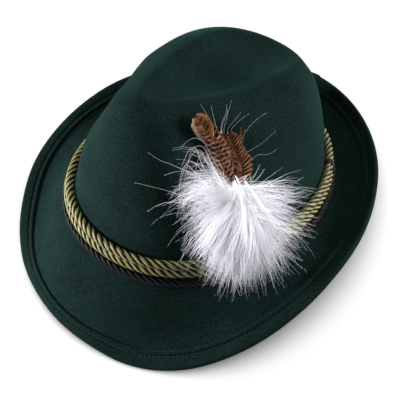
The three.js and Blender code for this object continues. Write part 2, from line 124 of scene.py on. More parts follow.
# Plume and feathers
PLUME_ANGLE = 59.3
PLUME_HEIGHT = 43
HEAD_HALF_DEPTH = 9
LONG_FEATHER_WIDTH = 12
SHORT_FEATHER_WIDTH = 10.5
VANE = 1.2
FEATHER_KEYS = ("angle", "climb", "lift", "width")
LONG_FEATHER = (
    (58.4, 0.351, 6.3, 0.5),
    (57.3, 0.378, 6, 0.85),
    (55.9, 0.404, 5.8, 1),
    (54.4, 0.434, 5.5, 1),
    (52.3, 0.464, 5.2, 0.9),
    (49.5, 0.512, 4.9, 0.78),
    (47.9, 0.575, 4.6, 0.8),
    (45.5, 0.621, 4.3, 0.75),
    (43.7, 0.646, 4.1, 0.3),
)
SHORT_FEATHER = (
    (62.1, 0.350, 3.8, 0.5),
    (64.2, 0.374, 3.8, 0.95),
    (64.9, 0.404, 3.7, 1),
    (64, 0.439, 3.5, 0.85),
    (62.9, 0.476, 3.3, 0.72),
    (62.1, 0.513, 3.2, 0.65),
    (61.1, 0.559, 3, 0.25),
)

# Single long strands, each by five places of angle and climb on the crown and height above it
LONG_STRANDS = (
    ((61.5, 0.323, 2.4), (57.8, 0.439, 2), (52.8, 0.588, 2.6), (50.4, 0.656, 4), (48.3, 0.699, 6)),
    ((61.5, 0.323, 2.4), (58.2, 0.439, 2), (54.5, 0.587, 2.6), (53.9, 0.648, 4), (54.1, 0.688, 6)),
    ((62, 0.323, 2.4), (59.2, 0.44, 2), (57.2, 0.584, 2.6), (61, 0.65, 4), (62.7, 0.682, 6)),
    ((62, 0.323, 2.4), (59.7, 0.441, 2), (57.7, 0.577, 2.6), (62.2, 0.653, 4), (66.1, 0.696, 6)),
    ((62.4, 0.322, 2.4), (60.1, 0.441, 2), (58.7, 0.561, 2.6), (59.9, 0.624, 4), (62.2, 0.659, 5)),
    ((62.9, 0.327, 2.4), (61, 0.439, 2), (60.7, 0.551, 2.2), (63.5, 0.611, 4), (67.4, 0.638, 6)),
    ((63.3, 0.327, 2.4), (62.4, 0.439, 2), (61.6, 0.552, 2.2), (65.8, 0.607, 4), (70.8, 0.627, 6)),
    ((64.3, 0.332, 2.4), (64.8, 0.426, 2.2), (65.4, 0.493, 3), (71, 0.581, 5), (79.1, 0.604, 7)),
    ((66.2, 0.341, 2.4), (67.1, 0.406, 2.2), (67.3, 0.448, 3), (73.6, 0.487, 6), (79.4, 0.524, 9)),
    ((68, 0.344, 2.4), (69.2, 0.403, 2.5), (71.6, 0.439, 4), (74.7, 0.435, 6), (79, 0.451, 9)),
    ((57.5, 0.327, 11), (50.5, 0.423, 8), (42.8, 0.507, 7), (38.8, 0.555, 7), (34.4, 0.507, 6)),
    ((54.1, 0.307, 12), (42.7, 0.386, 12), (32.1, 0.462, 11), (27.2, 0.483, 10), (22.6, 0.508, 9)),
    ((52.7, 0.29, 12), (41.5, 0.335, 13), (31.9, 0.372, 12), (25.7, 0.386, 11), (19.3, 0.386, 10)),
    ((63.8, 0.31, 12), (69.6, 0.349, 14), (76.1, 0.357, 14), (81.5, 0.35, 13), (87.3, 0.336, 12)),
    ((54.6, 0.319, 12), (45.1, 0.405, 10), (39.2, 0.489, 9), (36.7, 0.489, 8), (35.1, 0.43, 8)),
    ((54.6, 0.319, 12), (46.2, 0.416, 10), (40.9, 0.481, 9), (37.8, 0.462, 8), (37.9, 0.377, 8)),
    ((55.5, 0.324, 12), (47.5, 0.426, 9), (42.6, 0.484, 8), (38.1, 0.492, 8), (37.6, 0.417, 8)),
    ((53.7, 0.307, 12), (41.7, 0.401, 11), (36.1, 0.447, 10), (35.5, 0.405, 9), (36.5, 0.335, 9)),
    ((53.7, 0.307, 12), (43.1, 0.411, 11), (37.2, 0.461, 10), (35.9, 0.43, 9), (36.4, 0.365, 9)),
    ((55.6, 0.33, 12), (49.1, 0.411, 9), (44.7, 0.457, 8), (41.5, 0.442, 8), (42, 0.383, 8)),
    ((55.6, 0.33, 12), (50.4, 0.397, 9), (46.6, 0.433, 8), (44.2, 0.411, 8), (43.7, 0.352, 8)),
)
# The forked brown tuft beside the short feather, in the same way
TUFT = (
    ((62.4, 0.391, 6), (63.9, 0.429, 4), (65.1, 0.473, 3.5), (66.2, 0.519, 3.5), (66.2, 0.578, 4)),
    ((62.8, 0.391, 6), (64.3, 0.429, 4), (65.5, 0.477, 3.5), (67, 0.518, 3.5), (67.8, 0.56, 4)),
    ((62.4, 0.391, 6), (63.9, 0.429, 4), (64.7, 0.465, 3.5), (65.4, 0.503, 3.5), (65.4, 0.543, 4)),
)

# Camera, from the photograph: it looks at the middle of the head oval
CAMERA_AZIMUTH = 45.44
CAMERA_ELEVATION = 53.21
CAMERA_ROLL = -2.2
CAMERA_DISTANCE = 460.3
CAMERA_SCALE = 1.3674          # pixels for each millimetre at that distance
PHOTO = 400
AIM_PIXEL = (206.95, 173.64)
SENSOR = 36

# Colours as on screen, red, green and blue from 0 to 255
FELT_DARK, FELT_LIGHT = (8, 22, 20), (27, 50, 47)
BINDING_DARK, BINDING_LIGHT = (8, 21, 19), (26, 48, 45)
NAP = (90, 160, 150)
GREEN_THREAD = (24, 44, 40)
BLACK_THREAD = (26, 24, 26)
# The second colour is a lilac grey painted shade for the tips of the down
DOWN_WHITE, DOWN_TIP_SHADE = (252, 252, 254), (232, 232, 244)
TUFT_BROWN = (128, 72, 44)
LONG_SHAFT, SHORT_SHAFT = (112, 72, 44), (70, 44, 30)
# Yarns: painted shade between the plies, the yarn's own colour on a ply, and a painted highlight on its
# ridges
GOLD_YARN = ((11, 10, 5), (148, 140, 72), (218, 212, 146))
DARK_YARN = ((3, 2, 3), (15, 11, 13), (46, 36, 44))

# Lamps: name, direction by the camera's right, up and back, distance and size in metres, power in watts
FELT_LAMPS = (
    ("key", (-0.95, 0.06, 0.2), 1.3, 0.4, 27),
    ("side", (0.95, 0.15, 0.24), 1.3, 0.5, 17),
    ("top", (0, 0.9, 0.5), 1.5, 0.9, 6),
)
DOWN_LAMP = ("for_down", (-0.3, 0.5, 0.9), 1.3, 0.9, 24)
LAMP_TARGET = (0, 0, 0.05)
SUN_POWER = 3.3
SUN_ANGLE = 1.2
AMBIENT = 0.16                 # the white surroundings light the hat by this share of what the camera sees
FLOOR_HALF = 12                # metres, far enough that its edge doesn't show in side views

# Fineness of the curves and searches
HALVINGS = 30
WALL_TOP = 0.6                 # climb that lies above every height looked for on the wall
NORMAL_STEP = 0.004
NORMAL_LAST = 0.985            # nearer the top, the normal is the one at this climb
BRIM_SAMPLES = 161
COARSE_ANGLES = np.arange(0, 360, 6.0)
STRAND_STEPS = 17
ASKEW = (0.31, 0.52, 0.8)      # any direction that no tube starts along

HALF_LENGTH = HEAD_LENGTH / 2 + FELT
HALF_WIDTH = HEAD_WIDTH / 2 + FELT
GOLD_STAND_OFF = GOLD_CORD / 2 + GAP
rng = np.random.default_rng(7)


# Tables

def table(keys, rows):
    return {key: np.array(values, float) for key, values in zip(keys, zip(*rows))}


CROWN = table(CROWN_KEYS, CROWN_ROWS)
BRIM = table(BRIM_KEYS, BRIM_ROWS)


def spline(values, u, before, after):
    """A smooth curve through a table's column; u counts rows, before and after extend the column."""
    last = len(values) - 1
    i = np.clip(np.floor(u).astype(int), 0, last - 1)
    f = u - i

    def at(k):
        inside = values[np.clip(k, 0, last)]
        return np.where(k < 0, before, np.where(k > last, after, inside))

    a, b, c, d = at(i - 1), at(i), at(i + 1), at(i + 2)
    bend = 2 * a - 5 * b + 4 * c - d
    twist = 3 * b - a - 3 * c + d
    return 0.5 * (2 * b + (c - a) * f + bend * f ** 2 + twist * f ** 3)


def free_spline(values, u):
    """The same for a column that runs straight on past both ends."""
    return spline(values, u, 2 * values[0] - values[1], 2 * values[-1] - values[-2])


def run_of(points, closed=False):
    """The distance run along a path at each of its points, and back at the first if it is closed."""
    last = points[:1] if closed else points[:0]
    steps = np.linalg.norm(np.diff(points, axis=0, append=last), axis=-1)
    return np.concatenate([[0], np.cumsum(steps)])


def from_front(angle):
    """Degrees from the front, the same on both sides."""
    return np.abs((np.mod(angle, 360) + 540) % 360 - 180)


def like_shapes(*values):
    return np.broadcast_arrays(*(np.asarray(value, float) for value in values))


def round_angles(count):
    return np.arange(count) * 360 / count


def unit(v):
    return v / np.maximum(np.linalg.norm(v, axis=-1, keepdims=True), 1e-12)


# Crown and brim surfaces, in the hat's own frame

def corner_share(angle):
    """How near an angle lies to the middle of a front corner of the plan."""
    return (2 * np.sin(angle * RAD) * np.maximum(np.cos(angle * RAD), 0)) ** 2


def crown_point(angle, climb):
    """Points on the crown at angles from the front and climbs from 0 at the break to 1 at the top."""
    angle, climb = like_shapes(angle, climb)
    u = climb * (len(CROWN_ROWS) - 1)
    first = {key: 2 * CROWN[key][0] - CROWN[key][1] for key in CROWN_KEYS}
    inner = {key: CROWN[key][-2] for key in CROWN_KEYS}
    end = {key: CROWN[key][-1] for key in CROWN_KEYS}

    def at(key, after):
        return spline(CROWN[key], u, first[key], after)

    s, c = np.sin(angle * RAD), np.cos(angle * RAD)
    ahead, behind = np.maximum(c, 0) ** 2, np.maximum(-c, 0) ** 2
    height = CROWN_FRONT * ahead + CROWN_SIDE * s ** 2 + CROWN_BACK * behind
    crease = CREASE_SHARE["front"] * ahead + CREASE_SHARE["side"] * s ** 2 + CREASE_SHARE["back"] * behind
    front = at("front", 2 * end["front"] - inner["front"])
    back = at("back", 2 * end["back"] - inner["back"])
    narrow = 1 - at("point", inner["point"]) * (1 + c) / 2
    x = HALF_WIDTH * at("side", -inner["side"]) * s * narrow
    y = -HALF_LENGTH * (back + (front - back) * (1 + c) / 2) * c
    beyond = 2 * end["crease"] - inner["crease"]
    past_end = beyond + (inner["crease"] - beyond) * s ** 2
    z = height * at("rise", inner["rise"]) - CREASE_DEPTH * crease * at("crease", past_end)
    fade = np.exp(-((from_front(angle) - PINCH_ANGLE) / PINCH_SPREAD) ** 2)
    pinch = PINCH_DEPTH * at("pinch", inner["pinch"]) * fade
    grow = 1 + at("corner", inner["corner"]) * corner_share(angle) - pinch / np.maximum(np.hypot(x, y), 1e-6)
    return np.stack([x * grow, y * grow, z], -1)


def crown_normal(angle, climb):
    angle, climb = like_shapes(angle, climb)
    c = np.clip(climb, NORMAL_STEP, NORMAL_LAST)
    around = crown_point(angle + 1, c) - crown_point(angle - 1, c)
    along = crown_point(angle, c + NORMAL_STEP) - crown_point(angle, c - NORMAL_STEP)
    normal = unit(np.cross(around, along))
    normal[climb > 0.999, 0] = 0           # both sides meet on the top's middle line
    return unit(normal)


def off_crown(angle, climb, distance):
    return crown_point(angle, climb) + distance * crown_normal(angle, climb)


def climb_to(angle, height):
    """The climb at which the crown's wall reaches a height."""
    angle, height = like_shapes(angle, height)
    low, high = np.zeros(angle.shape), np.full(angle.shape, WALL_TOP)
    for _ in range(HALVINGS):
        middle = (low + high) / 2
        under = crown_point(angle, middle)[..., 2] < height
        low, high = np.where(under, middle, low), np.where(under, high, middle)
    return low


def brim_controls(angle):
    """The four control points of the brim's section at each angle."""
    angle = np.asarray(angle, float)
    u = from_front(angle) / (BRIM["angle"][1] - BRIM["angle"][0])
    at = {key: spline(BRIM[key], u, BRIM[key][1], BRIM[key][-2]) for key in BRIM_KEYS[1:]}
    run, rise = BRIM_RUN * at["run"], BRIM_DROP * at["rise"]
    handle = BRIM_HANDLE * np.hypot(run, rise)
    inner, outer = at["inner"] * RAD, at["outer"] * RAD
    grow = 1 + CROWN["corner"][0] * corner_share(angle)
    s, c = grow * np.sin(angle * RAD), grow * np.cos(angle * RAD)

    def point(reach, up):
        return np.stack([(HALF_WIDTH + reach) * s, -(HALF_LENGTH + reach) * c, up + 0 * s], -1)

    return (
        point(0 * run, 0),
        point(handle * np.cos(inner), handle * np.sin(inner)),
        point(run - handle * np.cos(outer), rise - handle * np.sin(outer)),
        point(run, rise),
    )


def brim_point(angle, t):
    """Points on the brim at angles (n) and curve places t (n, m)."""
    p = [q[:, None] for q in brim_controls(angle)]
    t = t[..., None]
    return (1 - t) ** 3 * p[0] + 3 * t * (1 - t) ** 2 * p[1] + 3 * t ** 2 * (1 - t) * p[2] + t ** 3 * p[3]


def brim_normal(angle, t):
    along = brim_point(angle, np.minimum(t + 1e-3, 1)) - brim_point(angle, np.maximum(t - 1e-3, 0))
    around = brim_point(angle + 1, t) - brim_point(angle - 1, t)
    return unit(np.cross(along, around))


def brim_skin(angle, distance):
    """Points and normals of the brim at distances from the break, or from the edge if negative."""
    t = brim_place(angle, distance)
    return brim_point(angle, t), brim_normal(angle, t)


def brim_length(angle):
    """Curve places and the distance run from the break, for each angle."""
    t = np.linspace(0, 1, BRIM_SAMPLES)
    path = brim_point(angle, np.broadcast_to(t, (len(angle), len(t))))
    steps = np.linalg.norm(np.diff(path, axis=1), axis=-1)
    return t, np.concatenate([np.zeros((len(angle), 1)), np.cumsum(steps, 1)], 1)


def brim_place(angle, distance):
    """The curve place at a distance from the break, or from the edge if negative."""
    t, run = brim_length(angle)
    distance = np.broadcast_to(distance, (len(angle), np.shape(distance)[-1]))
    target = np.where(distance < 0, distance + run[:, -1:], distance)
    return np.stack([np.interp(target[i], run[i], t) for i in range(len(angle))])


# Rest: the same lean as the solids, found in the same way

def lean(points, degrees):
    """Points turned about X, so that the front of the hat comes up."""
    c, s = math.cos(degrees * RAD), math.sin(degrees * RAD)
    x, y, z = points[..., 0], points[..., 1], points[..., 2]
    return np.stack([x, c * y + s * z, c * z - s * y], -1)


def low_side(angle):
    """The lowest faces of brim and binding at each angle."""
    run = brim_length(angle)[1][:, -1:]
    plain, plain_out = brim_skin(angle, np.linspace(0.1, 1, 24) * (run - BINDING_WIDTH))
    felt = plain - FELT * plain_out
    edge = np.ones((len(angle), 1))
    end = brim_point(angle, edge)
    outward = unit(end - brim_point(angle, edge - 0.01))
    binding = end - (FELT + BINDING_PLY) * brim_normal(angle, edge) + BINDING_PLY * outward
    return np.concatenate([felt, binding], 1)


def resting_lean():
    points = low_side(COARSE_ANGLES).reshape(-1, 3)
    ahead, behind = points[points[:, 1] < 0], points[points[:, 1] >= 0]
    low, high = 0, 30
    for _ in range(HALVINGS):
        middle = (low + high) / 2
        if lean(ahead, middle)[:, 2].min() < lean(behind, middle)[:, 2].min():
            low = middle
        else:
            high = middle
    return low, lean(points, low)[:, 2].min() + REST_FLATTENING


LEAN, SURFACE = resting_lean()


def place(points, press=0):
    """Points of the hat's own frame brought to where it rests; press lifts what the surface flattens."""
    placed = lean(points, LEAN)
    placed[..., 2] += press - SURFACE
    placed[..., 1] += SHIFT
    return placed


def shift_to_frame():
    """How far the solids' centring moved the hat along Y, from the lower cord's box."""
    low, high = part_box("cord_gold_lower")
    ring = lean(lower_cord_centre(COARSE_ANGLES), LEAN)[:, 1]
    return (low.y + high.y) / 2 / MM - (ring.max() + ring.min()) / 2


# Meshes

def add_object(name, data):
    thing = bpy.data.objects.new(name, data)
    bpy.context.scene.collection.objects.link(thing)
    return thing


def new_piece(name, points, *face_sets):
    """A smooth mesh object from points in millimetres and arrays of faces with like corner counts."""
    mesh = bpy.data.meshes.new(name)
    counts = np.concatenate([np.full(len(f), f.shape[1]) for f in face_sets])
    corners = np.concatenate([f.ravel() for f in face_sets]).astype(np.int32)
    starts = np.concatenate([[0], np.cumsum(counts)[:-1]]).astype(np.int32)
    mesh.vertices.add(len(points))
    mesh.vertices.foreach_set("co", (points * MM).astype(np.float32).ravel())
    mesh.loops.add(len(corners))
    mesh.loops.foreach_set("vertex_index", corners)
    mesh.polygons.add(len(counts))
    mesh.polygons.foreach_set("loop_start", starts)
    mesh.update(calc_edges=True)
    mesh.validate()
    mesh.shade_smooth()
    return add_object(name, mesh)


def colour_points(piece, colours):
    """Stores one colour for each point, or the same for all, for the material to read."""
    colours = np.broadcast_to(colours, (len(piece.data.vertices), 3))
    attribute = piece.data.color_attributes.new("tint", "FLOAT_COLOR", "POINT")
    rgba = np.concatenate([colours, np.ones((len(colours), 1))], 1).astype(np.float32)
    attribute.data.foreach_set("color", rgba.ravel())


def ring_faces(rings, around, closed):
    """Quads between rings of points, all of the same count."""
    i = np.arange(rings if closed else rings - 1)[:, None]
    j = np.arange(around)[None]
    k, n = (j + 1) % around, (i + 1) % rings
    return np.stack([i * around + j, i * around + k, n * around + k, n * around + j], -1).reshape(-1, 4)


def tube_points(centres, radii, sides):
    """Rings round many paths: centres (k, m, 3), radii (k, m)."""
    along = unit(np.gradient(centres, axis=1))
    side = np.zeros_like(centres)
    side[:, 0] = unit(np.cross(along[:, 0], ASKEW))
    for m in range(1, centres.shape[1]):
        carried = side[:, m - 1] - (side[:, m - 1] * along[:, m]).sum(-1, keepdims=True) * along[:, m]
        side[:, m] = unit(carried)
    other = np.cross(along, side)
    turn = np.arange(sides) * 2 * math.pi / sides
    offset = np.cos(turn)[:, None] * side[:, :, None] + np.sin(turn)[:, None] * other[:, :, None]
    return centres[:, :, None] + radii[..., None, None] * offset


def tubes(name, centres, radii, sides):
    """Many closed tapering tubes in one mesh."""
    points = tube_points(centres, radii, sides)
    k, m = centres.shape[:2]
    one = ring_faces(m, sides, False)
    base = (np.arange(k) * m * sides)[:, None, None]
    walls = (one[None] + base).reshape(-1, 4)
    near = (np.arange(sides)[::-1][None] + base[:, 0]).reshape(-1, sides)
    far = (np.arange(sides)[None] + (m - 1) * sides + base[:, 0]).reshape(-1, sides)
    return new_piece(name, points.reshape(-1, 3), walls, near, far)


def dress(piece, material, slot, *nodes):
    piece.data.materials.append(material)
    if nodes:
        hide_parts(*nodes)
    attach(piece, "root")


# Materials

def linear(red, green, blue):
    """A screen colour from 0 to 255 as the shader's linear colour."""
    def one(v):
        v /= 255
        return v / 12.92 if v <= 0.04045 else ((v + 0.055) / 1.055) ** 2.4
    return (one(red), one(green), one(blue), 1)


def rgb(colour):
    """The same without the alpha, as an array."""
    return np.array(linear(*colour)[:3])


def blend(a, b, share):
    return a + (b - a) * share


class Shader:
    """A material under construction, with its principled shader and short ways to add nodes."""

    def __init__(self, name):
        self.material = bpy.data.materials.new(name)
        self.material.use_nodes = True
        self.nodes = self.material.node_tree.nodes
        self.links = self.material.node_tree.links
        self.shader = self.nodes["Principled BSDF"]
        self.place = self.nodes.new("ShaderNodeTexCoord").outputs["Object"]

    def set(self, **values):
        for name, value in values.items():
            self.shader.inputs[name.replace("_", " ")].default_value = value

    def add(self, kind, inputs=(), **settings):
        node = self.nodes.new(kind)
        for key, value in settings.items():
            setattr(node, key, value)
        for socket, value in dict(inputs).items():
            if isinstance(value, bpy.types.NodeSocket):
                self.links.new(value, node.inputs[socket])
            else:
                node.inputs[socket].default_value = value
        return node

    def noise(self, scale, detail=2.0, roughness=0.5, stretch=(1, 1, 1)):
        where = self.add("ShaderNodeMapping", {"Vector": self.place, "Scale": stretch}).outputs["Vector"]
        return self.add("ShaderNodeTexNoise", {
            "Vector": where, "Scale": scale, "Detail": detail, "Roughness": roughness}).outputs["Fac"]

    def ramp(self, factor, *stops):
        node = self.add("ShaderNodeValToRGB", {"Fac": factor})
        elements = node.color_ramp.elements
        while len(elements) < len(stops):
            elements.new(0.5)
        for element, (position, colour) in zip(elements, stops):
            element.position = position
            element.color = colour
        return node.outputs["Color"]

    def mix(self, factor, a, b, kind="MIX"):
        node = self.add("ShaderNodeMix", data_type="RGBA", blend_type=kind)
        for socket, value in (("Factor", factor), ("A", a), ("B", b)):
            sort = "VALUE" if socket == "Factor" else "RGBA"
            found = next(s for s in node.inputs if s.name == socket and s.type == sort)
            if isinstance(value, bpy.types.NodeSocket):
                self.links.new(value, found)
            else:
                found.default_value = value
        return next(s for s in node.outputs if s.type == "RGBA")

    def bump(self, height, strength, distance, normal=None):
        inputs = {"Height": height, "Strength": strength, "Distance": distance}
        if normal is not None:
            inputs["Normal"] = normal
        return self.add("ShaderNodeBump", inputs).outputs["Normal"]

    def tint(self):
        return self.add("ShaderNodeAttribute", attribute_name="tint").outputs["Color"]

    def wire(self, socket, value):
        self.links.new(value, self.shader.inputs[socket])


def felt_material(name, dark, light):
    """Dense matt felt: a mottled green with fine fibres and a soft nap."""
    m = Shader(name)
    dark, light = linear(*dark), linear(*light)
    cloud = m.noise(45, 3)
    mottle = m.noise(900, 3, 0.65)
    fibre = m.noise(2600, 2, 0.6, (1, 0.35, 1))
    base = m.ramp(mottle, (0.38, dark), (0.62, light))
    m.wire("Base Color", m.mix(0.25, base, m.ramp(cloud, (0.35, dark), (0.65, light))))
    m.set(Roughness=0.95, Specular_IOR_Level=0.06)
    m.set(Sheen_Weight=0.22, Sheen_Roughness=0.35, Sheen_Tint=linear(*NAP))
    coarse = m.bump(mottle, 0.55, 0.0005)
    m.wire("Normal", m.bump(fibre, 0.3, 0.00018, coarse))
    return m.material


def yarn_material(name, roughness, specular):
    """Twisted yarn in the colours of its points, which hold painted shade between the plies and painted
    highlights on the ridges, with fine filament lines.
    """
    m = Shader(name)
    fleck = m.ramp(m.noise(2500, 2), (0.3, (0.72, 0.72, 0.72, 1)), (0.7, (1, 1, 1, 1)))
    m.wire("Base Color", m.mix(1, m.tint(), fleck, "MULTIPLY"))
    m.set(Roughness=roughness, Sheen_Weight=0.03, Specular_IOR_Level=specular)
    m.wire("Normal", m.bump(m.noise(5200, 2, 0.6), 0.35, 0.00008))
    return m.material


def plume_material():
    """Soft down that lets a little light through."""
    m = Shader("white_down")
    m.set(Roughness=0.7, Specular_IOR_Level=0.25, Sheen_Weight=0.3, Subsurface_Weight=0.15)
    m.set(Subsurface_Radius=(0.002, 0.002, 0.002), Subsurface_Scale=1)
    m.wire("Base Color", m.tint())
    return m.material


def feather_material():
    """Vane and shaft in the colours of their points."""
    m = Shader("barred_feather")
    m.wire("Base Color", m.tint())
    m.set(Roughness=0.6, Specular_IOR_Level=0.1)
    m.wire("Normal", m.bump(m.noise(4000, 2), 0.25, 0.0001))
    return m.material


def thread_material(name, colour):
    """Sewing thread with darker flecks."""
    m = Shader(name)
    colour = linear(*colour)
    dark = tuple(0.6 * v for v in colour[:3]) + (1,)
    m.wire("Base Color", m.ramp(m.noise(3000, 2), (0.35, dark), (0.65, colour)))
    m.set(Roughness=0.7, Specular_IOR_Level=0.3, Sheen_Weight=0.2)
    m.wire("Normal", m.bump(m.noise(6000, 2), 0.4, 0.00008))
    return m.material


# Felt body

FELT_COLUMNS = 300
CROWN_STEPS = 84
CORNER_PLACES = (0.25, 0.5, 0.75)
BRIM_STEPS = 44


def pressed(under):
    """How far the surface that the hat rests on lifts points of its lower face."""
    return np.maximum(0, SURFACE - lean(under, LEAN)[..., 2])


def bound_press(surface, normal):
    """The same for the brim's points under the binding."""
    return pressed(surface - (FELT + BINDING_PLY) * normal)


def felt_body():
    """Crown and brim as one closed sheet: rings from the top out to the edge, and back below it."""
    angle = round_angles(FELT_COLUMNS)
    start = climb_to(angle, BREAK_FILLET)[:, None]
    climb = 1 + (start - 1) * np.linspace(0, 1, CROWN_STEPS)
    wide = np.broadcast_to(angle[:, None], climb.shape)
    crown, crown_out = crown_point(wide, climb), crown_normal(wide, climb)
    run = brim_length(angle)[1][:, -1:]
    distance = BREAK_FILLET + (run - BREAK_FILLET) * np.linspace(0, 1, BRIM_STEPS)
    brim, brim_out = brim_skin(angle, distance)
    f = np.array(CORNER_PLACES)[None, :, None]
    foot = crown_point(angle, 0)[:, None]
    corner = (1 - f) ** 2 * crown[:, -1:] + 2 * f * (1 - f) * foot + f ** 2 * brim[:, :1]
    corner_out = unit((1 - f) * crown_out[:, -1:] + f * brim_out[:, :1])
    outer = np.concatenate([crown, corner, brim], 1)
    normal = np.concatenate([crown_out, corner_out, brim_out], 1)
    bound = run - distance < BINDING_WIDTH
    under = brim - (FELT + np.where(bound, BINDING_PLY, 0))[..., None] * brim_out
    press = np.zeros(outer.shape[:2])
    press[:, -BRIM_STEPS:] = pressed(under)
    top = place(outer, press)
    bottom = place(outer - FELT * normal, press)
    rings = np.concatenate([top, bottom[:, ::-1]], 1).swapaxes(0, 1)
    faces = ring_faces(len(rings), FELT_COLUMNS, False)
    weld = np.arange(len(rings) * FELT_COLUMNS)
    mirror = np.minimum(np.arange(FELT_COLUMNS), (-np.arange(FELT_COLUMNS)) % FELT_COLUMNS)
    for ring in (0, len(rings) - 1):
        weld[ring * FELT_COLUMNS:(ring + 1) * FELT_COLUMNS] = ring * FELT_COLUMNS + mirror
    points, faces = compact(rings.reshape(-1, 3), weld[faces])
    piece = new_piece("felt_shell", points, *faces)
    dress(piece, felt_material("green_felt", FELT_DARK, FELT_LIGHT), "felt", "felt_body")


def compact(points, quads):
    """Drops welded-away points and faces, and splits quads that lost a corner into triangles."""
    used, inverse = np.unique(quads, return_inverse=True)
    quads = inverse.reshape(quads.shape)
    same = quads == np.roll(quads, -1, 1)
    whole = quads[~same.any(1)]
    cut = quads[same.sum(1) == 1]
    corners = [row[~lost] for row, lost in zip(cut, same[same.sum(1) == 1])]
    sets = [whole]
    if corners:
        sets.append(np.array(corners))
    return points[used], sets


# Binding of the brim's edge

BINDING_COLUMNS = 1080
# Section from the raw edge out to the brim's edge: distance from the brim's edge, height above the felt
BINDING_SECTION = (
    (9.0, 0.05), (9.5, 0.4), (9.7, 0.85), (9.5, 1.35), (9.0, 1.65), (8.3, 1.75), (7.6, 1.68), (7.0, 1.35),
    (6.5, 0.75), (6.2, 0.4), (6.0, 0.32), (5.8, 0.4), (5.4, 0.85), (4.9, 1.2), (4.0, 1.38), (2.8, 1.42),
    (1.5, 1.4), (0.5, 1.36),
)
FOLD_STEPS = 9


def brim_binding():
    """The folded strip, drawn in along its row of stitches."""
    angle = round_angles(BINDING_COLUMNS)
    section = np.array(BINDING_SECTION)
    surface, normal = brim_skin(angle, -section[:, 0])
    lap = lap_height(angle)[:, None]
    run = run_of(surface[:, -1], closed=True)
    along = run[:-1] / run[-1]
    stitches = round(run[-1] / STITCH_STEP)
    near_row = np.exp(-((section[:, 0] - STITCH_ROW) / 0.7) ** 2)
    pucker = 0.5 + 0.5 * np.cos(2 * math.pi * stitches * along)
    height = section[:, 1] + lap * (section[:, 1] > 0.3) - PUCKER * near_row * pucker[:, None]
    press = bound_press(surface, normal)
    top = place(surface + height[..., None] * normal, press)
    bottom = place(surface - (FELT + height)[..., None] * normal, press)
    edge = np.ones((len(angle), 1))
    end, end_out = brim_point(angle, edge), brim_normal(angle, edge)
    outward = unit(end - brim_point(angle, edge - 0.01))
    turn = np.linspace(70, -70, FOLD_STEPS)[None, :, None] * RAD
    radius = FELT / 2 + (section[-1, 1] + lap)[..., None]
    fold = end - FELT / 2 * end_out + radius * (np.cos(turn) * outward + np.sin(turn) * end_out)
    fold_press = np.repeat(bound_press(*brim_skin(angle, np.array([-0.01]))), FOLD_STEPS, 1)
    rings = np.concatenate([top, place(fold, fold_press), bottom[:, ::-1]], 1).swapaxes(0, 1)
    rings[..., 2] = np.maximum(rings[..., 2], 0)
    piece = new_piece("edge_binding", rings.reshape(-1, 3), ring_faces(len(rings), BINDING_COLUMNS, True))
    dress(piece, felt_material("binding_felt", BINDING_DARK, BINDING_LIGHT), "binding", "brim_binding")
    edge_stitches(stitches)


def lap_height(angle):
    """Where the binding's ends overlap at the back, the outer end stands higher and is cut off short."""
    rise = np.clip((angle - LAP_START) / 0.6, 0, 1)
    fall = np.clip((LAP_END - angle) / 3.5, 0, 1)
    return LAP_HEIGHT * rise * fall


def edge_stitches(count):
    """Short threads that lie in the groove on both faces of the binding."""
    fine = np.arange(0, 360, 0.25)
    row = np.array([-STITCH_ROW])
    run = run_of(brim_skin(fine, row)[0][:, 0], closed=True)
    place_on = np.linspace(-0.5, 0.5, 7) * STITCH_LENGTH
    middle = (np.arange(count) + 0.5) * run[-1] / count
    angle = np.interp(middle[:, None] + place_on[None], run, np.append(fine, 360))
    arch = 0.30 * (1 - (2 * place_on / STITCH_LENGTH) ** 2)
    surface, normal = (v[:, 0] for v in brim_skin(angle.ravel(), row))
    press = bound_press(surface, normal)
    high = (0.42 + np.tile(arch, count))[:, None]
    top = place(surface + high * normal, press)
    bottom = place(surface - (FELT + high) * normal, press)
    paths = np.concatenate([top.reshape(count, -1, 3), bottom.reshape(count, -1, 3)])
    radii = np.broadcast_to(THREAD / 2 * np.array([0.5, 0.95, 1, 1, 1, 0.95, 0.5]), paths.shape[:2])
    piece = tubes("edge_stitches", paths, radii, 6)
    dress(piece, thread_material("green_thread", GREEN_THREAD), "binding")


# Cords

def on_wall(angle, height, distance):
    """Points at a height on the crown's wall, a distance out from it."""
    return off_crown(angle, climb_to(angle, height), distance)


def lower_cord_centre(angle):
    return on_wall(angle, CORD_HEIGHT, GOLD_STAND_OFF)


def upper_cord_centre(angle):
    """On the wall above the lower cord, as near to it as the two can lie."""
    below = lower_cord_centre(angle)
    low = np.full(np.shape(angle), CORD_HEIGHT)
    high = low + 2 * GOLD_CORD
    for _ in range(HALVINGS):
        middle = (low + high) / 2
        apart = np.linalg.norm(on_wall(angle, middle, GOLD_STAND_OFF) - below, axis=-1)
        near = apart < GOLD_CORD + GAP / 2
        low, high = np.where(near, middle, low), np.where(near, high, middle)
    return on_wall(angle, low, GOLD_STAND_OFF)


def dark_cord_centre(angle):
    """In the corner, clear of the brim below it and of the lower gold cord."""
    clear = DARK_CORD / 2 + 2 * GAP
    reach = clear + GAP
    first, second = brim_controls(angle)[:2]
    slope = unit(second - first)
    flat = slope * [1, 1, 0]
    steep = slope[:, 2] / np.linalg.norm(flat, axis=-1)
    up = clear * np.hypot(1, steep) + steep * reach
    return crown_point(angle, 0) + reach * unit(flat) + up[:, None] * [0, 0, 1]


